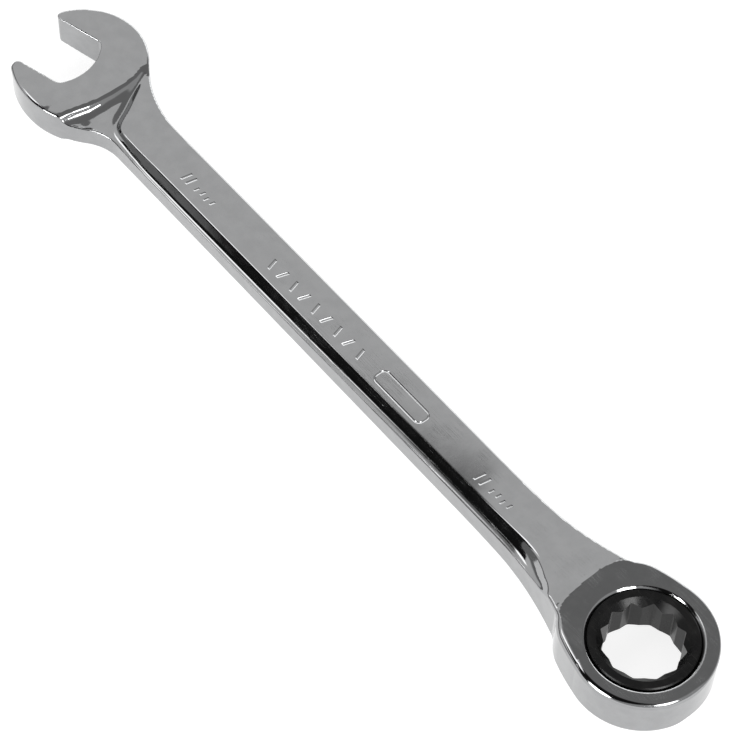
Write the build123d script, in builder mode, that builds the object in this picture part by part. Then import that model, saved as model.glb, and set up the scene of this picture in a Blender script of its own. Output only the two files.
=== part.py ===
"""11 mm ratcheting combination wrench.

Frame: the ring head's axis is Z through the origin, the mid-plane of the forging
is z = 0, and the shank runs from the ring head along -X to the open jaw.
All lengths are in millimetres.
"""

from build123d import *
from math import cos, degrees, radians, sin, sqrt, tan
import os

os.makedirs("parts", exist_ok=True)

# ---------------------------------------------------------------- driving sizes
nominal = 11.0  # across flats of the nut it fits
flats_gap = nominal + 0.1  # width of the open jaw between its flats
box_flats = nominal + 0.1  # across flats of the 12-point hole

centres = 138.7  # ring head axis to the middle of the jaw opening, along X
jaw_offset_y = 0.3  # middle of the jaw opening off the shank's axis
jaw_head_x = -139.5  # centre of the far jaw's round outline
jaw_head_y = 0.7
near_jaw_x = -138.3  # centre of the near jaw's flatter outline
near_jaw_y = 5.15
near_jaw_r = 15.9
jaw_angle = 15.0  # turn of the open jaw from the shank's axis
jaw_head_r = 11.45
jaw_half_t = 3.03  # half thickness of the jaw head
jaw_tip_half_t = 2.55  # half thickness of the jaw head at its tips
throat_r = 8.6  # radius of the throat's bottom
throat_depth = 1.85  # throat's bottom, behind the jaw head centre
throat_corner_r = 1.5
outer_fillet = 0.7  # outer edges of the jaw head and the shank
tip_r = 1.1  # rounding of each jaw tip, seen from above

ring_r = 11.05
ring_half_t = 3.8
pad_back_x = 12.75  # the raised pad over the pawl ends here
pad_corner = (11.0, 8.1)

shank_half_w = 4.55
shank_half_t = 2.32
neck_half_t = 3.7  # half thickness of the neck where it meets the pad
neck_start_x = 27.0  # the neck starts to widen and thicken here
neck_r = 52.0  # plan radius of the neck at the ring end
jaw_neck_far_r = 24.0  # plan radii of the two necks at the jaw end
jaw_neck_near_r = 8.8

groove_r = 2.2  # long finger groove beside the panel
groove_y = -4.64
groove_z = 2.7

lip_r = 8.30  # upper bore, a running fit on the gear's hub
bore_r = 9.28  # main bore, around the gear's teeth
lip_z = 2.25  # underside of the lip
clip_groove_r = 9.85
clip_groove_low = -3.0
clip_groove_high = -2.25

hub_r = 8.24
hub_half_l = 3.7
teeth = 72
tooth_tip_r = 9.20
tooth_root_r = 8.79
band_half_l = 2.2  # toothed band of the gear
lock_flank = 32.0  # flank angles from the radial direction
free_flank = 50.0
hole_phase = 4.15  # turn of the 12-point hole

pawl_angle = 180.0  # where the pawl's teeth meet the gear
slide_angle = 160.0  # direction in which the pawl backs out
pawl_half_w = 2.7
pawl_back_u = 10.7
pawl_half_h = 2.12
pawl_travel = 0.55
pawl_gap = 0.05  # radial gap between the two sets of teeth
pocket_back_u = pawl_back_u + pawl_travel + 0.2  # the pocket leaves the pawl room to back out
pocket_half_h = 2.2
spring_hole_r = 1.0
spring_hole_end_u = 14.4
pawl_hole_bottom_u = 9.7

wire_r = 0.13
spring_r = 0.72
spring_turns = 6


def polar(radius, angle_deg):
    return (radius * cos(radians(angle_deg)), radius * sin(radians(angle_deg)))


def half_turn(solid):
    """The same cut on the other face: the section is unchanged by half a turn about X."""
    return solid.rotate(Axis.X, 180)


# ---------------------------------------------------------------- wrench body
jaw_c = (-centres, jaw_offset_y)
head_c = (jaw_head_x, jaw_head_y)
near_head_c = (near_jaw_x, near_jaw_y)
ca, sa = cos(radians(jaw_angle)), sin(radians(jaw_angle))


def jaw_point(d, n):
    """A point in the jaw's own directions: d towards the mouth, n towards the far jaw."""
    return (jaw_c[0] - d * ca - n * sa, jaw_c[1] - d * sa + n * ca)


# the concave neck arcs, tangent to the shank's straight side and to the jaw head
far_t = head_c[0] + sqrt(
    (jaw_neck_far_r + jaw_head_r) ** 2
    - (shank_half_w + jaw_neck_far_r - jaw_head_y) ** 2
)
near_t = near_jaw_x + sqrt(
    (jaw_neck_near_r + near_jaw_r) ** 2
    - (shank_half_w + jaw_neck_near_r + near_jaw_y) ** 2
)
far_c = (far_t, shank_half_w + jaw_neck_far_r)
near_c = (near_t, -shank_half_w - jaw_neck_near_r)


def on_line(a, b, dist):
    length = sqrt((b[0] - a[0]) ** 2 + (b[1] - a[1]) ** 2)
    return (a[0] + (b[0] - a[0]) * dist / length, a[1] + (b[1] - a[1]) * dist / length)


far_touch = on_line(head_c, far_c, jaw_head_r)
near_touch = on_line(near_head_c, near_c, near_jaw_r)


def arc_mid(centre, a, b, side=1):
    """The middle of the shorter arc from a to b about centre, or of the longer one."""
    r = sqrt((a[0] - centre[0]) ** 2 + (a[1] - centre[1]) ** 2)
    mx, my = (a[0] + b[0]) / 2 - centre[0], (a[1] + b[1]) / 2 - centre[1]
    m = sqrt(mx * mx + my * my)
    return (centre[0] + side * mx * r / m, centre[1] + side * my * r / m)


def on_circle_in_mouth(centre, radius, n):
    """The point of a jaw's outline circle at height n in the mouth's own directions."""
    cd = -(centre[0] - jaw_c[0]) * ca - (centre[1] - jaw_c[1]) * sa
    cn = -(centre[0] - jaw_c[0]) * sa + (centre[1] - jaw_c[1]) * ca
    return jaw_point(cd + sqrt(radius**2 - (n - cn) ** 2), n)


near_end = on_circle_in_mouth(near_head_c, near_jaw_r, -3.0)
far_end = on_circle_in_mouth(head_c, jaw_head_r, 3.0)


def on_outline(e):
    """Whether an edge of the blank follows its outline, away from the ring head."""
    c = e @ 0.5
    if c.X > -12:
        return False
    d = -(c.X - jaw_c[0]) * ca - (c.Y - jaw_c[1]) * sa
    n = -(c.X - jaw_c[0]) * sa + (c.Y - jaw_c[1]) * ca
    if d > -3 and abs(n) < flats_gap / 2 + 0.3:
        return False
    return abs(c.Y) > shank_half_w - 0.2 or c.X < -centres


ring_neck_end_x = -11.0
neck_end_y = shank_half_w + neck_r - sqrt(neck_r**2 - (neck_start_x + ring_neck_end_x) ** 2)

jaw_face_x = -130.3  # the jaw head's raised top ends here

# long finger groove: on the near side of the top face, the far side of the bottom
with BuildPart() as groove:
    with BuildLine() as groove_path:
        Polyline(
            (-126.6, -6.0, groove_z + 1.1),
            (-124.2, -5.1, groove_z + 0.35),
            (-121.4, groove_y, groove_z),
            (-24.0, groove_y, groove_z),
            (-17.0, -5.55, groove_z - 0.1),
        )
    with BuildSketch(Plane(groove_path.line @ 0, z_dir=groove_path.line % 0)):
        Circle(groove_r)
    sweep(path=groove_path.line, transition=Transition.ROUND)
    with BuildSketch(Plane.XZ.offset(5.55)):
        with Locations((-17.0, groove_z - 0.1)):
            Circle(groove_r)
        with Locations((-17.0 - groove_r, groove_z - 0.1)):
            Rectangle(2 * groove_r, 2 * groove_r + 1, mode=Mode.SUBTRACT)
    revolve(axis=Axis((-17.0, -5.55, groove_z - 0.1), (0, 0, 1)))

# flared valley between the jaw head and the panel's slanting end
valley_plane = Plane(
    origin=(-126.9, -8.0, 5.6), z_dir=Vector(-2.2, 11.0, -1.95).normalized()
)
with BuildPart() as valley:
    with BuildSketch(valley_plane):
        Circle(4.1)
    with BuildSketch(valley_plane.offset(15.5)):
        Circle(0.45)
    loft(ruled=True)

with BuildPart() as wrench_body:
    # shank, necks and jaw head seen from above
    with BuildSketch(Plane.XY.offset(-ring_half_t)) as planform:
        with BuildLine():
            Line((0, -neck_end_y), (ring_neck_end_x, -neck_end_y))
            ThreePointArc(
                (ring_neck_end_x, -neck_end_y),
                arc_mid(
                    (-neck_start_x, -shank_half_w - neck_r),
                    (ring_neck_end_x, -neck_end_y),
                    (-neck_start_x, -shank_half_w),
                ),
                (-neck_start_x, -shank_half_w),
            )
            Line((-neck_start_x, -shank_half_w), (near_t, -shank_half_w))
            ThreePointArc(
                (near_t, -shank_half_w),
                arc_mid(near_c, (near_t, -shank_half_w), near_touch),
                near_touch,
            )
            ThreePointArc(
                near_touch, arc_mid(near_head_c, near_touch, near_end), near_end
            )
            Line(near_end, far_end)
            ThreePointArc(far_end, (head_c[0], head_c[1] + jaw_head_r), far_touch)
            ThreePointArc(
                far_touch,
                arc_mid(far_c, far_touch, (far_t, shank_half_w)),
                (far_t, shank_half_w),
            )
            Line((far_t, shank_half_w), (-neck_start_x, shank_half_w))
            ThreePointArc(
                (-neck_start_x, shank_half_w),
                arc_mid(
                    (-neck_start_x, shank_half_w + neck_r),
                    (-neck_start_x, shank_half_w),
                    (ring_neck_end_x, neck_end_y),
                ),
                (ring_neck_end_x, neck_end_y),
            )
            Line((ring_neck_end_x, neck_end_y), (0, neck_end_y))
            Line((0, neck_end_y), (0, -neck_end_y))
        make_face()
        # the open jaw: two flats, a round-bottomed throat and rounded tips
        with BuildSketch(mode=Mode.PRIVATE) as mouth:
            with BuildLine():
                corner_d = throat_r - throat_depth - sqrt(throat_r**2 - (flats_gap / 2) ** 2)
                ThreePointArc(
                    jaw_point(corner_d, -flats_gap / 2),
                    jaw_point(-throat_depth, 0),
                    jaw_point(corner_d, flats_gap / 2),
                )
                Polyline(
                    jaw_point(corner_d, flats_gap / 2),
                    jaw_point(20, flats_gap / 2),
                    jaw_point(20, -flats_gap / 2),
                    jaw_point(corner_d, -flats_gap / 2),
                )
            make_face()
            throat_corners = mouth.vertices().filter_by(
                lambda v: min(
                    (v.X - jaw_point(corner_d, s * flats_gap / 2)[0]) ** 2
                    + (v.Y - jaw_point(corner_d, s * flats_gap / 2)[1]) ** 2
                    for s in (-1, 1)
                )
                < 0.01
            )
            fillet(throat_corners, throat_corner_r)
        add(mouth.sketch, mode=Mode.SUBTRACT)
        tips = planform.vertices().filter_by(
            lambda v: v.X < jaw_c[0] - 4
            and min(
                abs(sqrt((v.X - head_c[0]) ** 2 + (v.Y - head_c[1]) ** 2) - jaw_head_r),
                abs(
                    sqrt((v.X - near_jaw_x) ** 2 + (v.Y - near_jaw_y) ** 2) - near_jaw_r
                ),
            )
            < 0.01
        )
        fillet(tips, tip_r)
    extrude(amount=2 * ring_half_t)
    # thickness along the length: domed jaw head, slim shank, neck rising to the ring
    with BuildSketch(Plane.XZ) as profile:
        with BuildLine():
            p0 = (jaw_head_x - jaw_head_r - 0.2, jaw_tip_half_t)
            p1 = (jaw_head_x + 2.8, jaw_half_t + 0.03)
            p2 = (jaw_face_x + 0.9, jaw_half_t)
            p3 = (jaw_face_x + 1.5, shank_half_t)
            p4 = (-neck_start_x - 4, shank_half_t)
            p5 = (-neck_start_x + 10, shank_half_t + 0.42)
            p6 = (-pad_back_x + 1.5, neck_half_t)
            ThreePointArc(p0, ((p0[0] + p1[0]) / 2, jaw_half_t - 0.12), p1)
            Polyline(p1, p2, p3, p4)
            Spline(p4, p5, p6, tangents=((1, 0), (1, 0.06)))
            Line(p6, (0, neck_half_t + 0.1))
            Line((0, neck_half_t + 0.1), (0, -neck_half_t - 0.1))
            Line((0, -neck_half_t - 0.1), (p6[0], -p6[1]))
            Spline(
                (p6[0], -p6[1]), (p5[0], -p5[1]), (p4[0], -p4[1]),
                tangents=((-1, 0.06), (-1, 0)),
            )
            Polyline((p4[0], -p4[1]), (p3[0], -p3[1]), (p2[0], -p2[1]), (p1[0], -p1[1]))
            ThreePointArc(
                (p1[0], -p1[1]), ((p0[0] + p1[0]) / 2, -jaw_half_t + 0.12), (p0[0], -p0[1])
            )
            Line((p0[0], -p0[1]), p0)
        make_face()
    extrude(amount=20, both=True, mode=Mode.INTERSECT)
    # rounded outer edges of the jaw head, necks and shank
    outer = wrench_body.edges().filter_by(
        lambda e: abs(e.center().Z) > 1.5
        and abs(e.center().Z) < 3.4
        and on_outline(e)
    )
    fillet(outer, outer_fillet)
    add(groove.part, mode=Mode.SUBTRACT)
    add(half_turn(groove.part), mode=Mode.SUBTRACT)
    add(valley.part, mode=Mode.SUBTRACT)
    add(half_turn(valley.part), mode=Mode.SUBTRACT)
    # ring head with the raised pad over the pawl
    with BuildSketch(Plane.XY.offset(-ring_half_t)) as pad:
        with BuildLine():
            ThreePointArc(polar(ring_r, -104), (ring_r, 0), polar(ring_r, 104))
            ThreePointArc(
                polar(ring_r, 104), (-7.15, 9.62), (-pad_corner[0], pad_corner[1])
            )
            ThreePointArc(
                (-pad_corner[0], pad_corner[1]),
                (-pad_back_x, 0),
                (-pad_corner[0], -pad_corner[1]),
            )
            ThreePointArc(
                (-pad_corner[0], -pad_corner[1]), (-7.15, -9.62), polar(ring_r, -104)
            )
        make_face()
        fillet(pad.vertices().filter_by(lambda v: v.X < -9), 2.6)
    extrude(amount=2 * ring_half_t)
    pad_rim = wrench_body.edges().filter_by(
        lambda e: abs(abs((e @ 0.5).Z) - ring_half_t) < 1e-4
    )
    fillet(pad_rim, 0.75)
    # stepped bore, snap-ring groove and lip chamfer
    with BuildSketch(Plane.XZ) as bore_profile:
        with BuildLine():
            Polyline(
                (0, -ring_half_t - 1),
                (bore_r + 1.4, -ring_half_t - 1),
                (bore_r, -ring_half_t + 0.4),
                (bore_r, clip_groove_low),
                (clip_groove_r, clip_groove_low),
                (clip_groove_r, clip_groove_high),
                (bore_r, clip_groove_high),
                (bore_r, lip_z),
                (lip_r, lip_z),
                (lip_r, ring_half_t - 0.5),
                (lip_r + 1.5, ring_half_t + 1.0),
                (0, ring_half_t + 1.0),
                (0, -ring_half_t - 1),
            )
        make_face()
    revolve(axis=Axis.Z, mode=Mode.SUBTRACT)
    # pawl pocket, cut from inside the bore, and the spring hole behind it
    slide_plane = Plane(
        origin=(0, 0, -pocket_half_h),
        x_dir=(cos(radians(slide_angle)), sin(radians(slide_angle)), 0),
        z_dir=(0, 0, 1),
    )
    pawl_w = 9.0 * sin(radians(pawl_angle - slide_angle))
    with BuildSketch(slide_plane) as pocket:
        with Locations(((pocket_back_u + 4.0) / 2, pawl_w)):
            Rectangle(pocket_back_u - 4.0, 2 * (pawl_half_w + 0.05))
        fillet(pocket.vertices().group_by(Axis.X)[0], 0.6)
    extrude(amount=2 * pocket_half_h, mode=Mode.SUBTRACT)
    with BuildSketch(
        Plane(
            origin=Vector(*slide_plane.from_local_coords((0, pawl_w, pocket_half_h))),
            x_dir=(0, 0, 1),
            z_dir=slide_plane.x_dir,
        ).offset(pocket_back_u - 0.5)
    ):
        Circle(spring_hole_r)
    extrude(amount=spring_hole_end_u - pocket_back_u + 0.5, mode=Mode.SUBTRACT)

wrench_body.part.label = "wrench_body"
export_step(wrench_body.part, "parts/wrench_body.step")

# ---------------------------------------------------------------- drive gear
pitch = 360.0 / teeth
tooth_h = tooth_tip_r - tooth_root_r


def gear_outline(grow):
    """The gear's tooth outline, CCW, with every radius grown; the steep flank leads CCW."""
    lock_w = degrees(tooth_h * tan(radians(lock_flank)) / 9.0)
    free_w = degrees(tooth_h * tan(radians(free_flank)) / 9.0)
    land = pitch - lock_w - free_w
    points = []
    for i in range(teeth):
        a = i * pitch
        points.append(polar(tooth_root_r + grow, a + land * 0.3))
        points.append(polar(tooth_tip_r + grow, a + land * 0.3 + free_w))
        points.append(polar(tooth_tip_r + grow, a + land + free_w))
        points.append(polar(tooth_root_r + grow, a + land + free_w + lock_w))
    return points


with BuildPart() as drive_gear:
    with BuildSketch(Plane.XY.offset(-band_half_l)):
        Polygon(*gear_outline(0), align=None)
    extrude(amount=2 * band_half_l)
    with BuildSketch(Plane.XY.offset(-hub_half_l)):
        Circle(hub_r)
    extrude(amount=2 * hub_half_l)
    chamfer(
        drive_gear.edges().filter_by(GeomType.CIRCLE).filter_by(
            lambda e: abs(abs(e.center().Z) - hub_half_l) < 1e-4
        ),
        0.2,
    )
    # 12-point hole with rounded corners
    with BuildSketch(Plane.XY.offset(-hub_half_l - 1)) as star:
        outer_r = box_flats / 2 / cos(radians(30))
        inner_r = box_flats / 2 / cos(radians(15))
        Polygon(
            *[
                polar(outer_r if i % 2 == 0 else inner_r, hole_phase + 15.0 * i)
                for i in range(24)
            ],
            align=None,
        )
        notches = star.vertices().filter_by(lambda v: sqrt(v.X**2 + v.Y**2) > 6.1)
        fillet(notches, 0.4)
        ridges = star.vertices().filter_by(
            lambda v: sqrt(v.X**2 + v.Y**2) < inner_r + 0.01
        )
        fillet(ridges, 0.35)
    extrude(amount=2 * hub_half_l + 2, mode=Mode.SUBTRACT)
    # lead-in cones at both ends of the hole
    with BuildSketch(Plane.XZ):
        for s in (1, -1):
            with BuildLine():
                Polyline(
                    (0, s * (hub_half_l + 0.5)),
                    (6.95 + 0.5, s * (hub_half_l + 0.5)),
                    (6.95 - 2.0, s * (hub_half_l - 2.0)),
                    (0, s * (hub_half_l - 2.0)),
                    (0, s * (hub_half_l + 0.5)),
                )
            make_face()
    revolve(axis=Axis.Z, mode=Mode.SUBTRACT)

drive_gear.part.label = "drive_gear"
export_step(drive_gear.part, "parts/drive_gear.step")

# ---------------------------------------------------------------- pawl
with BuildPart() as pawl:
    pawl_plane = Plane(
        origin=(0, 0, -pawl_half_h), x_dir=slide_plane.x_dir, z_dir=(0, 0, 1)
    )
    with BuildSketch(pawl_plane) as blank:
        with Locations(((pawl_back_u + 4.0) / 2, pawl_w)):
            Rectangle(pawl_back_u - 4.0, 2 * pawl_half_w)
        fillet(blank.vertices().group_by(Axis.X)[0], 0.7)
    extrude(amount=2 * pawl_half_h)
    # the mating teeth, and relief beside them
    with BuildSketch(Plane.XY.offset(-pawl_half_h - 1)) as mate:
        Polygon(*gear_outline(pawl_gap), align=None)
        with BuildSketch(mode=Mode.PRIVATE) as relief:
            Circle(tooth_tip_r + 0.12)
            with BuildLine():
                Polyline(
                    (0, 0),
                    polar(14, pawl_angle - 15.2),
                    polar(14, pawl_angle + 14.8),
                    (0, 0),
                )
            make_face(mode=Mode.SUBTRACT)
        add(relief.sketch)
    extrude(amount=2 * pawl_half_h + 2, mode=Mode.SUBTRACT)
    with BuildSketch(
        Plane(
            origin=Vector(*slide_plane.from_local_coords((0, pawl_w, pocket_half_h))),
            x_dir=(0, 0, 1),
            z_dir=slide_plane.x_dir,
        ).offset(pawl_hole_bottom_u)
    ):
        Circle(spring_hole_r)
    extrude(amount=5, mode=Mode.SUBTRACT)

pawl.part.label = "pawl"
export_step(pawl.part, "parts/pawl.step")

# ---------------------------------------------------------------- pawl spring
spring_l = spring_hole_end_u - pawl_hole_bottom_u - 2 * wire_r - 0.04
spring_base = Plane(
    origin=Vector(
        *slide_plane.from_local_coords(
            (pawl_hole_bottom_u + wire_r + 0.02, pawl_w, pocket_half_h)
        )
    ),
    x_dir=(0, 0, 1),
    z_dir=slide_plane.x_dir,
)
with BuildPart() as pawl_spring:
    with BuildLine() as coil:
        Helix(
            pitch=spring_l / spring_turns,
            height=spring_l,
            radius=spring_r,
            center=spring_base.origin,
            direction=spring_base.z_dir,
        )
    with BuildSketch(Plane(coil.line @ 0, z_dir=coil.line % 0)):
        Circle(wire_r)
    sweep(path=coil.line, is_frenet=True)

pawl_spring.part.label = "pawl_spring"
export_step(pawl_spring.part, "parts/pawl_spring.step")

# ---------------------------------------------------------------- snap ring
with BuildPart() as retaining_ring:
    with BuildSketch(Plane.XY.offset(clip_groove_low)) as clip:
        Circle(clip_groove_r - 0.02)
        Circle(8.45, mode=Mode.SUBTRACT)
        with BuildLine():
            Polyline((0, 0), polar(14, -12), polar(14, 12), (0, 0))
        make_face(mode=Mode.SUBTRACT)
        fillet(clip.vertices(), 0.25)
    extrude(amount=0.7)

retaining_ring.part.label = "retaining_ring"
export_step(retaining_ring.part, "parts/retaining_ring.step")
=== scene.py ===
"""Picture of an 11 mm ratcheting combination wrench: chrome forging, black ratchet gear."""
import bpy, math
import numpy as np
from mathutils import Matrix, Vector


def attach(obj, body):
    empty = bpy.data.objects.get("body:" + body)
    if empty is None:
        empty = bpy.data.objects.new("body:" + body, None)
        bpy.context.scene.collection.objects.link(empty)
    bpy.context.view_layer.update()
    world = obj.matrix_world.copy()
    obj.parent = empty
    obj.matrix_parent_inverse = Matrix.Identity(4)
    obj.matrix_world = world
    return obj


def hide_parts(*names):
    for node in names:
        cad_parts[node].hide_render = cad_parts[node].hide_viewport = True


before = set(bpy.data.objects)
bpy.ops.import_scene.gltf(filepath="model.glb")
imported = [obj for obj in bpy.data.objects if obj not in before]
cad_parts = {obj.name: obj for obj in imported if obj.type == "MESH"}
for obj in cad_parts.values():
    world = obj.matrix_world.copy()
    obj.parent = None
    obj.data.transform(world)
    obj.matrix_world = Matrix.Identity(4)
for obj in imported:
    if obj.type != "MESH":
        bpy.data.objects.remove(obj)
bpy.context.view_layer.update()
sc = bpy.context.scene
sc.view_settings.view_transform = "Standard"


# ---------------------------------------------------------------- the forging's surface
# Distances are in millimetres in this section and are turned into metres when the mesh is made.
GAP, CEN, JY, JANG, RJ = 11.1, 138.7, 0.3, math.radians(15.0), 11.45
CA, SA = math.cos(JANG), math.sin(JANG)
SW, NECK_R, NECK_X = 4.55, 52.0, -27.0
FAR_R, NEAR_R = 24.0, 8.8
BX, BY, RB = -138.3, 5.15, 15.9  # the near jaw's flatter outline
RT, DEPTH, RC, TIP = 8.6, 1.85, 1.5, 1.1
HX, HY = -139.5, 0.7  # centre of the jaw head's outline
RING_R, RING_H = 11.05, 3.8


def jp(d, n):
    return np.array([-CEN - d * CA - n * SA, JY - d * SA + n * CA])


class Path:
    """A closed path of lines and arcs, each tangent to the next, run anticlockwise."""

    def __init__(self):
        self.prims = []

    def line(self, a, b):
        self.prims.append(("L", np.asarray(a, float), np.asarray(b, float)))
        return self

    def arc(self, c, a, b, ccw=True):
        c, a, b = (np.asarray(v, float) for v in (c, a, b))
        self.prims.append(("A", c, a, b, ccw))
        return self

    def sd(self, x, y):
        best = np.full(x.shape, 1e9)
        sign = np.ones(x.shape)
        for p in self.prims:
            if p[0] == "L":
                ax, ay = p[1]
                vx, vy = p[2] - p[1]
                t = np.clip(((x - ax) * vx + (y - ay) * vy) / (vx * vx + vy * vy), 0, 1)
                dx, dy = x - ax - t * vx, y - ay - t * vy
                d = np.hypot(dx, dy)
                s = np.where(vx * (y - ay) - vy * (x - ax) > 0, -1.0, 1.0)
            else:
                _, c, a, b, ccw = p
                r = math.hypot(*(a - c))
                a0 = math.atan2(*(a - c)[::-1])
                a1 = math.atan2(*(b - c)[::-1])
                if not ccw:
                    a0, a1 = a1, a0
                span = (a1 - a0) % (2 * math.pi)
                px, py = x - c[0], y - c[1]
                rho = np.hypot(px, py)
                ang = (np.arctan2(py, px) - a0) % (2 * math.pi)
                on = ang <= span
                da = np.hypot(x - a[0], y - a[1])
                db = np.hypot(x - b[0], y - b[1])
                d = np.where(on, np.abs(rho - r), np.minimum(da, db))
                s = np.where((rho < r) == ccw, -1.0, 1.0)
            near = d < best
            best = np.where(near, d, best)
            sign = np.where(near, s, sign)
        return best * sign


def make_outline():
    """The shank, both necks and the open jaw, seen from above."""
    cj = np.array([HX, HY])
    far_t = cj[0] + math.sqrt((FAR_R + RJ) ** 2 - (SW + FAR_R - HY) ** 2)
    cb = np.array([BX, BY])
    near_t = cb[0] + math.sqrt((NEAR_R + RB) ** 2 - (SW + NEAR_R + BY) ** 2)
    fc, nc = np.array([far_t, SW + FAR_R]), np.array([near_t, -SW - NEAR_R])
    far_touch = cj + (fc - cj) * RJ / math.hypot(*(fc - cj))
    near_touch = cb + (nc - cb) * RB / math.hypot(*(nc - cb))
    h = GAP / 2
    hd = -(HX + CEN) * CA - (HY - JY) * SA
    hn = -(HX + CEN) * SA + (HY - JY) * CA
    df = hd + math.sqrt((RJ - TIP) ** 2 - (h + TIP - hn) ** 2)
    bd = -(BX + CEN) * CA - (BY - JY) * SA
    bn = -(BX + CEN) * SA + (BY - JY) * CA
    dn = bd + math.sqrt((RB - TIP) ** 2 - (h + TIP + bn) ** 2)
    ftc, ntc = jp(df, h + TIP), jp(dn, -h - TIP)
    f_circ = cj + (ftc - cj) * RJ / (RJ - TIP)
    n_circ = cb + (ntc - cb) * RB / (RB - TIP)
    dt = RT - DEPTH
    dk = dt - math.sqrt((RT - RC) ** 2 - (h - RC) ** 2)
    kf, kn, tc = jp(dk, h - RC), jp(dk, -h + RC), jp(dt, 0)
    kf_t = tc + (kf - tc) * RT / (RT - RC)
    kn_t = tc + (kn - tc) * RT / (RT - RC)
    end_x = 0.0
    end_y = SW + NECK_R - math.sqrt(NECK_R**2 - (NECK_X + 11.0) ** 2)
    p = Path()
    # far side, from the ring to the jaw
    p.line((end_x, end_y), (-11.0, end_y))
    p.arc((NECK_X, SW + NECK_R), (-11.0, end_y), (NECK_X, SW), ccw=False)
    p.line((NECK_X, SW), (far_t, SW))
    p.arc(fc, (far_t, SW), far_touch, ccw=False)
    p.arc(cj, far_touch, f_circ)
    p.arc(ftc, f_circ, jp(df, h))
    p.line(jp(df, h), jp(dk, h))
    p.arc(kf, jp(dk, h), kf_t, ccw=False)
    p.arc(tc, kf_t, kn_t, ccw=False)
    p.arc(kn, kn_t, jp(dk, -h), ccw=False)
    p.line(jp(dk, -h), jp(dn, -h))
    p.arc(ntc, jp(dn, -h), n_circ)
    p.arc(cb, n_circ, near_touch)
    p.arc(nc, near_touch, (near_t, -SW), ccw=False)
    p.line((near_t, -SW), (NECK_X, -SW))
    p.arc((NECK_X, -SW - NECK_R), (NECK_X, -SW), (-11.0, -end_y), ccw=False)
    p.line((-11.0, -end_y), (end_x, -end_y))
    p.line((end_x, -end_y), (end_x, end_y))
    return p


def circle3(a, b, c):
    ax, ay = a; bx, by = b; cx, cy = c
    d = 2 * (ax * (by - cy) + bx * (cy - ay) + cx * (ay - by))
    ux = ((ax**2 + ay**2) * (by - cy) + (bx**2 + by**2) * (cy - ay) + (cx**2 + cy**2) * (ay - by)) / d
    uy = ((ax**2 + ay**2) * (cx - bx) + (bx**2 + by**2) * (ax - cx) + (cx**2 + cy**2) * (bx - ax)) / d
    return np.array([ux, uy]), math.hypot(ax - ux, ay - uy)


def r_inter(a, b, r):
    """The overlap of two solids with the edge between them rounded to radius r."""
    ua, ub = np.maximum(a + r, 0), np.maximum(b + r, 0)
    return np.minimum(-r, np.maximum(a, b)) + np.hypot(ua, ub)


def r_union(a, b, r):
    """Two solids joined, with the corner between them filled to radius r."""
    ua, ub = np.maximum(r - a, 0), np.maximum(r - b, 0)
    return np.maximum(r, np.minimum(a, b)) - np.hypot(ua, ub)


def smooth(t):
    t = np.clip(t, 0, 1)
    return t * t * (3 - 2 * t)


OUTLINE = make_outline()


def sd_poly(pts, x, y):
    """Signed distance to a closed polygon."""
    pts = np.asarray(pts, float)
    best = np.full(x.shape, 1e9)
    inside = np.zeros(x.shape, bool)
    for (ax, ay), (bx, by) in zip(pts, np.roll(pts, -1, 0)):
        vx, vy = bx - ax, by - ay
        t = np.clip(((x - ax) * vx + (y - ay) * vy) / (vx * vx + vy * vy), 0, 1)
        best = np.minimum(best, (x - ax - t * vx) ** 2 + (y - ay - t * vy) ** 2)
        cross = ((ay > y) != (by > y)) & (x < (bx - ax) * (y - ay) / (by - ay + 1e-30) + ax)
        inside ^= cross
    return np.where(inside, -1, 1) * np.sqrt(best)


def catmull(pts, n=8, closed=False):
    pts = np.asarray(pts, float)
    out = []
    m = len(pts)
    for i in range(m if closed else m - 1):
        p0 = pts[(i - 1) % m] if closed or i > 0 else 2 * pts[0] - pts[1]
        p1, p2 = pts[i], pts[(i + 1) % m]
        p3 = pts[(i + 2) % m] if closed or i + 2 < m else 2 * pts[-1] - pts[-2]
        for t in np.linspace(0, 1, n, endpoint=False):
            out.append(0.5 * (2 * p1 + (p2 - p0) * t + (2 * p0 - 5 * p1 + 4 * p2 - p3) * t * t + (3 * p1 - p0 - 3 * p2 + p3) * t**3))
    if not closed:
        out.append(pts[-1])
    return np.array(out)


# edge of the recess: along the jaw head, across the panel's slanting end, down the panel's near edge and round its end by the ring
DISC_EDGE = [(-132.5, -14.0), (-131.3, -9.5), (-130.75, -6.6), (-130.15, -4.0), (-129.8, -2.0), (-129.65, 0.5), (-129.8, 3.5), (-130.2, 5.8), (-130.9, 7.6)]
PANEL_END = [(-130.6, 7.9), (-129.9, 6.6), (-128.9, 5.2), (-127.9, 3.7), (-126.9, 2.2), (-126.0, 0.75), (-125.3, -0.55), (-124.55, -1.7), (-123.6, -2.45), (-122.0, -2.8), (-119.0, -2.88)]
PANEL_EDGE = [(-100.0, -2.78), (-70.0, -2.6), (-40.0, -2.36), (-26.0, -2.2), (-22.5, -2.3), (-20.4, -2.6), (-18.6, -3.2), (-17.0, -3.95), (-15.6, -4.6), (-14.6, -5.4), (-13.9, -6.4), (-13.6, -7.5), (-13.5, -9.0), (-13.5, -14.0)]
RECESS = np.vstack([catmull(DISC_EDGE, 6) - [3.0, 0.0], catmull(PANEL_END, 6), catmull(PANEL_EDGE, 6)])

EDGE_X = np.array([p[0] for p in DISC_EDGE]); EDGE_Y = np.array([p[1] for p in DISC_EDGE])

_ca, _ra = circle3((RING_R * math.cos(math.radians(104)), RING_R * math.sin(math.radians(104))), (-7.15, 9.62), (-11.0, 8.1))
_cb, _rb = circle3((-11.0, 8.1), (-12.75, 0), (-11.0, -8.1))


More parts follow.
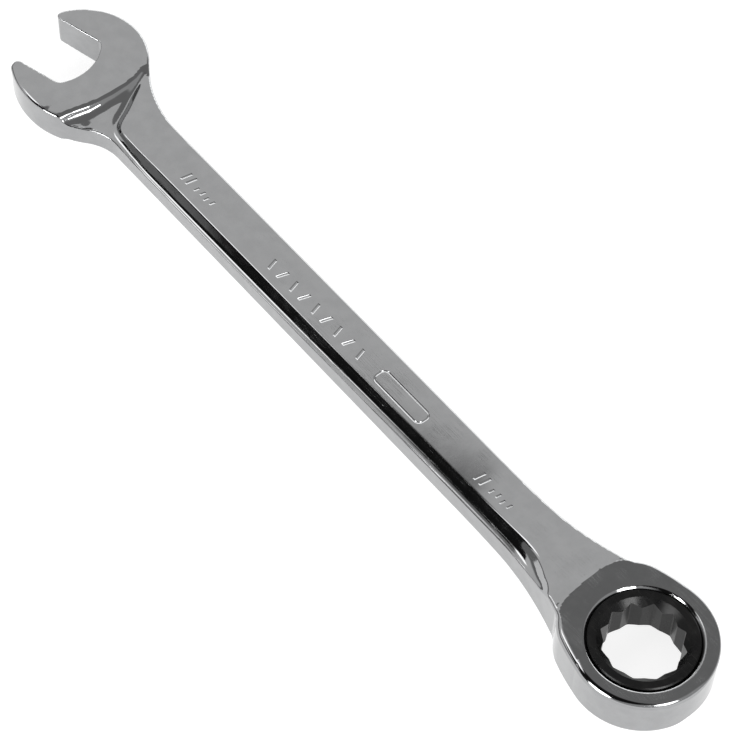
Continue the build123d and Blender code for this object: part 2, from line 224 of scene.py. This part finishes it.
def pad_sd(x, y):
    """The ring head and the raised pad over the pawl."""
    ring = np.hypot(x, y) - RING_R
    ay = np.abs(y)
    side = np.hypot(x - _ca[0], ay - _ca[1]) - _ra
    side2 = np.hypot(x - _ca[0], ay + _ca[1]) - _ra
    back = np.hypot(x - _cb[0], y - _cb[1]) - _rb
    body = r_inter(r_inter(side, side2, 0.01), back, 2.4)
    wedge = np.maximum(body, x + 2.6)
    return np.minimum(ring, wedge)


def top_surface(x, y, z, o, rec):
    """The solid under the top face, without the outline."""
    crown = 0.17 * (1 - np.clip(y / 4.6, -1.5, 1.5) ** 2)
    neck = np.clip((x + 36.0) / 24.0, 0, 1.0)
    h = 2.30 + crown * (1 - smooth((x + 30) / 14)) * smooth((-x - 118) / -6.0) + 1.45 * neck**2 * (1.6 - 0.6 * neck**2)
    panel = z - h
    r2 = (x + 138.3) ** 2 + (y - 0.7) ** 2
    rim_h, rim_b = np.hypot(x - HX, y - HY) - RJ, np.hypot(x - BX, y - BY) - RB
    side = smooth((y + 4.0) / 8.0)
    rim = np.where(x < HX, np.maximum(rim_h, rim_b), rim_b + (rim_h - rim_b) * side)
    shoulder = np.clip(1 + rim / 1.7, 0, 1)
    hj = 3.03 - 0.0011 * r2 - 0.0035 * np.clip(-x - 141.0, 0, 12) ** 1.6 - 0.22 * shoulder**2.2
    xd = np.interp(y, EDGE_Y, EDGE_X)
    disc = r_inter((x - xd) * 0.90 + (z - 2.0) * 0.436, z - hj, 0.5)
    # recess floor: along the shank, then stepping up towards the jaw head
    t = smooth((-x - 114.0) / 13.0)
    ring = smooth((x + 60) / 30.0)
    zf = 0.50 + 0.10 * np.clip(y + 3.9, -0.5, 3.0) + (0.88 + 0.030 * (y + 4.5)) * t + 0.55 * smooth((x + 95) / 60.0) + 0.7 * smooth((x + 24) / 12.0)
    zf = zf + 0.33 * np.clip(1.1 + o, 0, 1.1) ** 2 * (1 - 0.5 * t)
    zf = zf - 0.22 * np.exp(-(((x + 128.2) / 0.9) ** 2 + ((y + 6.0) / 1.0) ** 2))
    zf = zf - 0.32 * t * np.exp(-(((rec + 0.9) / 0.6) ** 2)) * smooth((y + 3.2) / 2.0)
    cove = (0.75 + 0.15 * ring) * (1 - t) + 0.50 * t
    lean = math.radians(52)
    cut = r_inter(rec * math.sin(lean) + (h - z) * math.cos(lean), zf - z, cove)
    panel = r_inter(panel, -cut, 0.16 + 0.10 * ring)
    return r_union(panel, disc, 0.9)


def forging(x, y, z, marks=True):
    o = OUTLINE.sd(x, y)
    rec_t = sd_poly(RECESS, x, y)
    rec_b = sd_poly(RECESS, x, -y)
    t = top_surface(x, y, z, o, rec_t)
    b = top_surface(x, -y, -z, o, rec_b)
    d = -(x + CEN) * CA - (y - JY) * SA
    n = -(x + CEN) * SA + (y - JY) * CA
    slot = smooth((1.2 - np.maximum(np.abs(n) - GAP / 2, -d - DEPTH)) / 0.8) * (x < -120)
    re = np.where(z > 0, smooth(0.5 + rec_t / 1.2), smooth(0.5 + rec_b / 1.2))
    away = smooth(np.where(z > 0, y, -y) / 3.0)
    redge = (0.24 + (0.32 - 0.24 * away) * re) * (1 - slot) + 0.22 * slot
    a = r_inter(o, np.maximum(t, b), redge)
    pad = r_inter(pad_sd(x, y), np.abs(z) - RING_H, 1.05 - 0.6 * away)
    body = r_union(a, pad, 0.5)
    body = np.maximum(body, np.abs(z) - RING_H)
    rho = np.hypot(x, y)
    s2 = math.sqrt(0.5)
    k = np.minimum(rho - 8.30, (rho - 8.30 - (z - 3.28)) * s2)
    k = np.minimum(k, np.maximum(rho - 9.28, z - 2.25))
    k = np.minimum(k, np.maximum((rho - 9.28 - (-3.35 - z)) * s2, z))
    k = np.minimum(k, np.maximum(rho - 9.85, np.abs(z + 2.625) - 0.375))
    body = r_inter(body, -k, 0.10)
    su, sw = math.cos(math.radians(160)), math.sin(math.radians(160))
    u, w = x * su + y * sw, -x * sw + y * su
    pw = 9.0 * math.sin(math.radians(20))
    pocket = np.maximum(np.maximum(np.abs(w - pw) - 2.75, np.abs(z) - 2.2), np.maximum(u - 11.45, 4 - u))
    hole = np.maximum(np.hypot(w - pw, z) - 1.0, np.maximum(u - 14.4, 4 - u))
    return np.maximum(body, -np.minimum(pocket, hole))


def grid_axis(stops):
    """Coordinates with a step of its own in each span: [(start, step), ..., (end, None)]."""
    out = []
    for (a, step), (b, _) in zip(stops, stops[1:]):
        n = max(1, round((b - a) / step))
        out.append(np.linspace(a, b, n, endpoint=False))
    out.append([stops[-1][0]])
    return np.concatenate(out)


def surface_mesh(name, fn, gx, gy, gz):
    """Closed mesh of fn = 0 on a rectilinear grid, each point moved onto the surface, with exact normals."""
    X, Y = np.meshgrid(gx, gy, indexing="ij")
    vals = np.empty((len(gx), len(gy), len(gz)), np.float32)
    for k, zz in enumerate(gz):
        vals[:, :, k] = fn(X, Y, np.full(X.shape, zz))
    neg = vals < 0
    nx, ny, nz = (s - 1 for s in neg.shape)
    count = np.zeros((nx, ny, nz), np.int8)
    corners = [(i, j, k) for i in (0, 1) for j in (0, 1) for k in (0, 1)]
    for i, j, k in corners:
        count += neg[i:nx + i, j:ny + j, k:nz + k]
    active = (count > 0) & (count < 8)
    idx = np.full(active.shape, -1, np.int64)
    cells = np.argwhere(active)
    idx[active] = np.arange(len(cells))
    pos = np.zeros((len(cells), 3)); hits = np.zeros(len(cells))
    axes = (gx, gy, gz)
    ci, cj, ck = cells.T
    for ax in range(3):
        for o1 in (0, 1):
            for o2 in (0, 1):
                off0 = [0, 0, 0]; others = [a for a in range(3) if a != ax]
                off0[others[0]], off0[others[1]] = o1, o2
                off1 = list(off0); off1[ax] = 1
                v0 = vals[ci + off0[0], cj + off0[1], ck + off0[2]].astype(float)
                v1 = vals[ci + off1[0], cj + off1[1], ck + off1[2]].astype(float)
                on = (v0 < 0) != (v1 < 0)
                t = np.where(on, v0 / np.where(on, v0 - v1, 1), 0)
                p = [axes[a][cells[:, a] + off0[a]] for a in range(3)]
                p[ax] = p[ax] + t * (axes[ax][cells[:, ax] + 1] - axes[ax][cells[:, ax]])
                pos[on] += np.stack(p, 1)[on]; hits[on] += 1
    pos /= hits[:, None]
    e = 2e-3

    def grad(q):
        g = np.empty_like(q)
        for a in range(3):
            qa, qb = q.copy(), q.copy()
            qa[:, a] += e; qb[:, a] -= e
            g[:, a] = (fn(*qa.T) - fn(*qb.T)) / (2 * e)
        return g

    lo = np.stack([axes[a][cells[:, a]] for a in range(3)], 1)
    hi = np.stack([axes[a][cells[:, a] + 1] for a in range(3)], 1)
    room = 0.25 * (hi - lo)
    for _ in range(4):
        f = fn(*pos.T); g = grad(pos)
        g2 = np.maximum((g * g).sum(1), 0.05)
        pos = np.clip(pos - (f / g2)[:, None] * g, lo - room, hi + room)
    g = grad(pos); g /= np.maximum(np.linalg.norm(g, axis=1), 1e-6)[:, None]
    quads = []
    for ax in range(3):
        a1, a2 = [(1, 2), (2, 0), (0, 1)][ax]
        sl0 = [slice(None)] * 3; sl1 = [slice(None)] * 3
        sl0[ax] = slice(0, -1); sl1[ax] = slice(1, None)
        s0, s1 = neg[tuple(sl0)], neg[tuple(sl1)]
        diff = s0 != s1
        e_idx = np.argwhere(diff)
        ok = (e_idx[:, a1] > 0) & (e_idx[:, a2] > 0) & (e_idx[:, a1] < idx.shape[a1]) & (e_idx[:, a2] < idx.shape[a2])
        e_idx = e_idx[ok]

        def cell(o1, o2):
            q = e_idx.copy(); q[:, a1] -= o1; q[:, a2] -= o2
            return idx[q[:, 0], q[:, 1], q[:, 2]]

        q = np.stack([cell(1, 1), cell(0, 1), cell(0, 0), cell(1, 0)], 1)
        flip = ~s0[e_idx[:, 0], e_idx[:, 1], e_idx[:, 2]]
        q[flip] = q[flip][:, ::-1]
        quads.append(q)
    quads = np.vstack(quads)
    me = bpy.data.meshes.new(name)
    me.from_pydata((pos / 1000).tolist(), [], quads.tolist())
    me.update()
    me.polygons.foreach_set("use_smooth", np.ones(len(me.polygons), bool))
    me.normals_split_custom_set_from_vertices(g.tolist())
    ob = bpy.data.objects.new(name, me)
    bpy.context.scene.collection.objects.link(ob)
    return ob, pos, g


GX = grid_axis([(-151.7, 0.30), (-119.0, 1.0), (-34.0, 0.45), (-16.0, 0.30), (11.7, None)])
GY = grid_axis([(-12.15, 0.28), (-3.6, 0.12), (-1.9, 0.32), (1.9, 0.12), (3.6, 0.28), (12.75, None)])
GZ = grid_axis([(-4.1, 0.15), (-3.0, 0.22), (3.0, 0.15), (4.1, None)])

# ---------------------------------------------------------------- materials
class Graph:
    """Small helper for building a node tree by expression."""

    def __init__(self, tree):
        self.tree = tree

    def node(self, kind, **props):
        n = self.tree.nodes.new(kind)
        for k, v in props.items():
            setattr(n, k, v)
        return n

    def put(self, sock, value):
        if hasattr(value, "links"):
            self.tree.links.new(value, sock)
        else:
            sock.default_value = value

    def math(self, op, a, b=None, c=None):
        n = self.node("ShaderNodeMath", operation=op)
        for i, v in enumerate((a, b, c)):
            if v is not None:
                self.put(n.inputs[i], v)
        return n.outputs[0]

    def step(self, v, lo, hi, a=0.0, b=1.0):
        n = self.node("ShaderNodeMapRange", interpolation_type="SMOOTHSTEP")
        for i, q in enumerate((v, lo, hi, a, b)):
            self.put(n.inputs[i], q)
        return n.outputs[0]

    def mix(self, f, a, b):
        """a where f is 0, b where f is 1, for plain numbers."""
        n = self.node("ShaderNodeMix", data_type="FLOAT")
        self.put(n.inputs[0], f)
        self.put(n.inputs[2], a)
        self.put(n.inputs[3], b)
        return n.outputs[0]

    def tint(self, f, a, b):
        n = self.node("ShaderNodeMix", data_type="RGBA")
        self.put(n.inputs[0], f)
        self.put(n.inputs[6], (*a, 1) if isinstance(a, tuple) else a)
        self.put(n.inputs[7], (*b, 1) if isinstance(b, tuple) else b)
        return n.outputs[2]

    def place(self, coord, scale=(1, 1, 1), turn=(0, 0, 0), move=(0, 0, 0)):
        n = self.node("ShaderNodeMapping")
        self.put(n.inputs["Vector"], coord)
        n.inputs["Scale"].default_value = scale
        n.inputs["Rotation"].default_value = turn
        n.inputs["Location"].default_value = move
        return n.outputs[0]

    def noise(self, coord, scale, detail=3.0, rough=0.55):
        n = self.node("ShaderNodeTexNoise")
        self.put(n.inputs["Vector"], coord)
        n.inputs["Scale"].default_value = scale
        n.inputs["Detail"].default_value = detail
        n.inputs["Roughness"].default_value = rough
        return n.outputs[0]

    def pits(self, coord, scale, radius):
        n = self.node("ShaderNodeTexVoronoi")
        self.put(n.inputs["Vector"], coord)
        n.inputs["Scale"].default_value = scale
        return self.step(n.outputs["Distance"], 0.0, radius, 1.0, 0.0)

    def bump(self, height, depth, strength=1.0, under=None):
        n = self.node("ShaderNodeBump")
        self.put(n.inputs["Height"], height)
        n.inputs["Distance"].default_value = depth
        n.inputs["Strength"].default_value = strength
        if under is not None:
            self.put(n.inputs["Normal"], under)
        return n.outputs[0]


def material(name):
    m = bpy.data.materials.new(name)
    m.use_nodes = True
    g = Graph(m.node_tree)
    return m, g, m.node_tree.nodes["Principled BSDF"]


def scratches(g, coord, turn, width, scale, seed):
    """Fine, long hairline marks in one direction."""
    c = g.place(coord, scale=(scale * 0.035, scale, scale * 0.3), turn=(0, 0, turn), move=(seed, seed * 0.7, seed * 1.3))
    n = g.noise(c, 1.0, 2.0, 0.4)
    return g.step(g.math("ABSOLUTE", g.math("SUBTRACT", n, 0.5)), 0.0, width, 1.0, 0.0)


def make_chrome():
    m, g, b = material("chrome_plate")
    co = g.node("ShaderNodeTexCoord").outputs["Object"]
    slow = g.noise(co, 90.0, 3.0, 0.5)
    mid = g.noise(co, 420.0, 4.0, 0.55)
    fine = g.noise(co, 2600.0, 3.0, 0.6)
    s1 = scratches(g, co, 0.35, 0.010, 2600.0, 3.0)
    s2 = scratches(g, co, -0.6, 0.008, 2100.0, 11.0)
    s3 = scratches(g, co, 1.5, 0.008, 1900.0, 23.0)
    patch = g.step(g.noise(co, 160.0, 2.0, 0.5), 0.46, 0.66)
    s_all = g.math("MULTIPLY", g.math("ADD", g.math("ADD", s1, s2), s3), patch)
    pit = g.pits(co, 900.0, 0.09)
    pit = g.math("MULTIPLY", pit, g.step(g.noise(co, 300.0, 2.0), 0.52, 0.7))
    g.put(b.inputs["Base Color"], g.tint(g.step(mid, 0.3, 0.72), CHROME_DARK, CHROME_LIGHT))
    b.inputs["Metallic"].default_value = 1.0
    r = g.math("MULTIPLY_ADD", g.step(slow, 0.35, 0.7), 0.025, 0.05)
    r = g.math("MULTIPLY_ADD", g.step(mid, 0.45, 0.75), 0.025, r)
    r = g.math("MULTIPLY_ADD", s_all, 0.03, r)
    r = g.math("MULTIPLY_ADD", pit, 0.15, r)
    g.put(b.inputs["Roughness"], r)
    nrm = g.bump(slow, 0.00003, 0.55)
    nrm = g.bump(mid, 0.000005, 0.5, nrm)
    nrm = g.bump(fine, 0.0000012, 0.6, nrm)
    nrm = g.bump(g.math("MULTIPLY", g.math("ADD", s_all, pit), -1.0), 0.000003, 0.4, nrm)
    marks = stamped(g, co)
    nrm = g.bump(g.math("MULTIPLY", marks, -1.0), 0.00012, 1.0, nrm)
    g.put(b.inputs["Normal"], nrm)
    return m


def stamped(g, co):
    """Shallow generic stamping along the panel: 1 inside the struck lines, 0 outside."""
    sep = g.node("ShaderNodeSeparateXYZ")
    g.put(sep.inputs[0], co)
    x, y, z = (g.math("MULTIPLY", sep.outputs[i], 1000.0) for i in range(3))
    top = g.step(z, 1.4, 1.9)

    def box(cx, cy, hx, hy, slant=0.0):
        dx = g.math("ABSOLUTE", g.math("SUBTRACT", g.math("ADD", x, g.math("MULTIPLY", y, -slant)), cx))
        dy = g.math("ABSOLUTE", g.math("SUBTRACT", y, cy))
        return g.math("MAXIMUM", g.math("SUBTRACT", dx, hx), g.math("SUBTRACT", dy, hy))

    def line(d, soft=0.10):
        return g.step(d, -soft, soft, 1.0, 0.0)

    out = None

    def put(v):
        nonlocal out
        out = v if out is None else g.math("MAXIMUM", out, v)

    for x0 in (-109.0, -36.2):
        # size end: two short upright strokes and a row of small notches
        put(line(box(x0, -0.1, 0.17, 0.95, 0.18)))
        put(line(box(x0 + 1.25, -0.1, 0.17, 0.95, 0.18)))
        for i in range(4):
            put(line(box(x0 + 3.2 + 1.25 * i, -0.45 + 0.25 * (i % 2), 0.13, 0.42, 0.18)))
    # maker's field: a plain row of slanted bars
    for i in range(9):
        put(line(box(-86.6 + 2.75 * i, -0.15, 0.22, 0.95, 0.30 if i % 2 else -0.30), 0.09))
    # plain cartouche: the outline of a long rounded box
    d = box(-54.5, -0.15, 4.6, 0.35)
    dx = g.math("MAXIMUM", g.math("SUBTRACT", g.math("ABSOLUTE", g.math("ADD", x, 54.5)), 4.55), 0.0)
    dy = g.math("MAXIMUM", g.math("SUBTRACT", g.math("ABSOLUTE", g.math("ADD", y, 0.15)), 0.35), 0.0)
    rr = g.math("SUBTRACT", g.math("SQRT", g.math("ADD", g.math("MULTIPLY", dx, dx), g.math("MULTIPLY", dy, dy))), 0.95)
    put(line(g.math("SUBTRACT", g.math("ABSOLUTE", rr), 0.11), 0.08))
    return g.math("MULTIPLY", out, top)


def make_oxide():
    m, g, b = material("black_oxide")
    co = g.node("ShaderNodeTexCoord").outputs["Object"]
    mid = g.noise(co, 500.0, 4.0, 0.6)
    grain = g.noise(co, 5200.0, 3.0, 0.65)
    slow = g.noise(co, 150.0, 2.0, 0.5)
    pit = g.pits(co, 1500.0, 0.16)
    s = scratches(g, co, 0.9, 0.010, 1700.0, 5.0)
    base = g.tint(g.step(mid, 0.35, 0.7), (0.0035, 0.0035, 0.0037), (0.008, 0.0079, 0.0077))
    g.put(b.inputs["Base Color"], g.tint(g.math("MULTIPLY", s, 0.35), base, (0.045, 0.044, 0.043)))
    b.inputs["Metallic"].default_value = 0.0
    b.inputs["Specular IOR Level"].default_value = 0.25
    r = g.math("MULTIPLY_ADD", g.step(slow, 0.3, 0.7), 0.06, 0.24)
    r = g.math("MULTIPLY_ADD", g.step(mid, 0.4, 0.75), 0.08, r)
    g.put(b.inputs["Roughness"], r)
    nrm = g.bump(grain, 0.000005, 0.6)
    nrm = g.bump(g.math("MULTIPLY", pit, -1.0), 0.00001, 0.4, nrm)
    g.put(b.inputs["Normal"], g.bump(mid, 0.00003, 0.5, nrm))
    return m


def make_steel(name, dark, light, rough, turned):
    m, g, b = material(name)
    co = g.node("ShaderNodeTexCoord").outputs["Object"]
    mid = g.noise(co, 600.0, 4.0, 0.6)
    lines = g.noise(g.place(co, scale=turned), 1.0, 3.0, 0.5)
    pit = g.pits(co, 1300.0, 0.12)
    g.put(b.inputs["Base Color"], g.tint(g.step(mid, 0.3, 0.7), dark, light))
    b.inputs["Metallic"].default_value = 1.0
    r = g.math("MULTIPLY_ADD", g.step(mid, 0.35, 0.7), 0.12, rough)
    g.put(b.inputs["Roughness"], g.math("MULTIPLY_ADD", pit, 0.1, r))
    nrm = g.bump(lines, 0.00001, 0.6)
    g.put(b.inputs["Normal"], g.bump(g.math("MULTIPLY", pit, -1.0), 0.00001, 0.4, nrm))
    return m


CHROME_DARK, CHROME_LIGHT = (0.352, 0.355, 0.360), (0.380, 0.383, 0.388)
chrome = make_chrome()
oxide = make_oxide()
hardened = make_steel("hardened_steel_ground", (0.20, 0.195, 0.19), (0.28, 0.27, 0.26), 0.30, (900.0, 900.0, 5200.0))
spring = make_steel("spring_steel_drawn", (0.33, 0.33, 0.33), (0.45, 0.45, 0.44), 0.22, (4000.0, 4000.0, 900.0))
by_slot = {"polished_chrome": chrome, "black_oxide": oxide, "hardened_steel": hardened, "spring_steel": spring}
slots = {"wrench_body": "polished_chrome", "drive_gear": "black_oxide", "pawl": "hardened_steel", "pawl_spring": "spring_steel", "retaining_ring": "spring_steel"}
for node_name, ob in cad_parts.items():
    ob.data.materials.clear()
    ob.data.materials.append(by_slot[slots[node_name]])

# ---------------------------------------------------------------- the forging as shown
body_ob, _, _ = surface_mesh("forged_body", forging, GX, GY, GZ)
body_ob.data.materials.append(chrome)
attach(body_ob, "wrench")
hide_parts("wrench_body")

# ---------------------------------------------------------------- floor and light
bpy.ops.mesh.primitive_plane_add(size=4, location=(-0.07, 0, -0.0038))
floor = bpy.context.object
floor.name = "floor"
m, g, b = material("floor_paint")
co = g.node("ShaderNodeTexCoord").outputs["Object"]
g.put(b.inputs["Base Color"], g.tint(g.noise(co, 3.0, 2.0, 0.5), (0.34, 0.34, 0.34), (0.36, 0.36, 0.36)))
g.put(b.inputs["Roughness"], g.math("MULTIPLY_ADD", g.noise(co, 40.0, 3.0), 0.1, 0.7))
b.inputs["Specular IOR Level"].default_value = 0.1
b.inputs["Emission Color"].default_value = (1, 1, 1, 1)
b.inputs["Emission Strength"].default_value = 0.86
floor.data.materials.append(m)

world = bpy.data.worlds.new("studio")
sc.world = world
world.use_nodes = True
g = Graph(world.node_tree)
bg = world.node_tree.nodes["Background"]
sep = g.node("ShaderNodeSeparateXYZ")
g.put(sep.inputs[0], g.node("ShaderNodeTexCoord").outputs["Generated"])
dz = g.math("MAXIMUM", sep.outputs[2], 0.03)
gx = g.math("DIVIDE", sep.outputs[0], dz)
gy = g.math("DIVIDE", sep.outputs[1], dz)
# a wide overhead panel to the left, dimmer over the ring end

def disc(cx, cy, cz, inner, outer):
    """1 within inner of a direction, falling to 0 at outer (both as 1 - cosine)."""
    n = math.sqrt(cx * cx + cy * cy + cz * cz)
    dot = g.math("ADD", g.math("ADD", g.math("MULTIPLY", sep.outputs[0], cx / n), g.math("MULTIPLY", sep.outputs[1], cy / n)), g.math("MULTIPLY", sep.outputs[2], cz / n))
    return g.step(dot, 1 - outer, 1 - inner)


def toward(az, el):
    a, e = math.radians(az), math.radians(el)
    return math.cos(e) * math.cos(a), math.cos(e) * math.sin(a), math.sin(e)


lum = g.mix(g.step(gx, -0.51, -0.43), 0.88, 0.28)
lum = g.mix(g.step(gx, -1.6, -3.0), lum, 0.26)
# dark room on the near side
near = g.step(g.math("MULTIPLY_ADD", gy, -0.5, gx), -0.58, -0.50)
lum = g.mix(g.math("MULTIPLY", near, g.step(gy, -0.10, -0.35)), lum, 0.012)
# bright panel low beyond the wrench, a small one on the near left
lum = g.mix(g.math("MULTIPLY", g.step(gy, 1.2, 1.45), g.step(gx, -0.56, -0.68)), lum, 2.6)
lum = g.mix(g.step(gx, 0.7, 1.3), lum, 0.55)
px = g.math("DIVIDE", g.math("ADD", gx, 0.70), 0.16)
py = g.math("DIVIDE", g.math("ADD", gy, 0.45), 0.30)
rr = g.math("SQRT", g.math("ADD", g.math("MULTIPLY", px, px), g.math("MULTIPLY", py, py)))
lum = g.mix(g.step(rr, 1.35, 0.7), lum, 2.8)
# two low soft boxes, on the near side and on the right
lum = g.mix(disc(*toward(-92, 15), 0.026, 0.040), lum, 11.0)
lum = g.mix(disc(*toward(-10, 26), 0.012, 0.030), lum, 12.0)
g.put(bg.inputs["Color"], g.tint(g.step(sep.outputs[2], 0.0, 1.0), (0.995, 0.998, 1.0), (1.0, 0.998, 0.995)))
g.put(bg.inputs["Strength"], lum)

# ---------------------------------------------------------------- camera
R = np.array([[0.6294675, 0.77668063, 0.02319191], [0.64486822, -0.50552219, -0.57322971], [-0.43349238, 0.37578519, -0.81906644]])
cam = bpy.data.cameras.new("camera")
cam_ob = bpy.data.objects.new("camera", cam)
sc.collection.objects.link(cam_ob)
M = np.eye(4)
M[:3, 0], M[:3, 1], M[:3, 2], M[:3, 3] = R[0], -R[1], -R[2], (0.12177532, -0.15863746, 0.34660317)
cam_ob.matrix_world = Matrix(M.tolist())
cam.sensor_width = 36
cam.lens = 2750.38 / 750 * 36
cam.clip_start = 0.01
cam.shift_x = (375 - 374.31) / 750
cam.shift_y = -(375 - 373.96) / 750
sc.camera = cam_ob
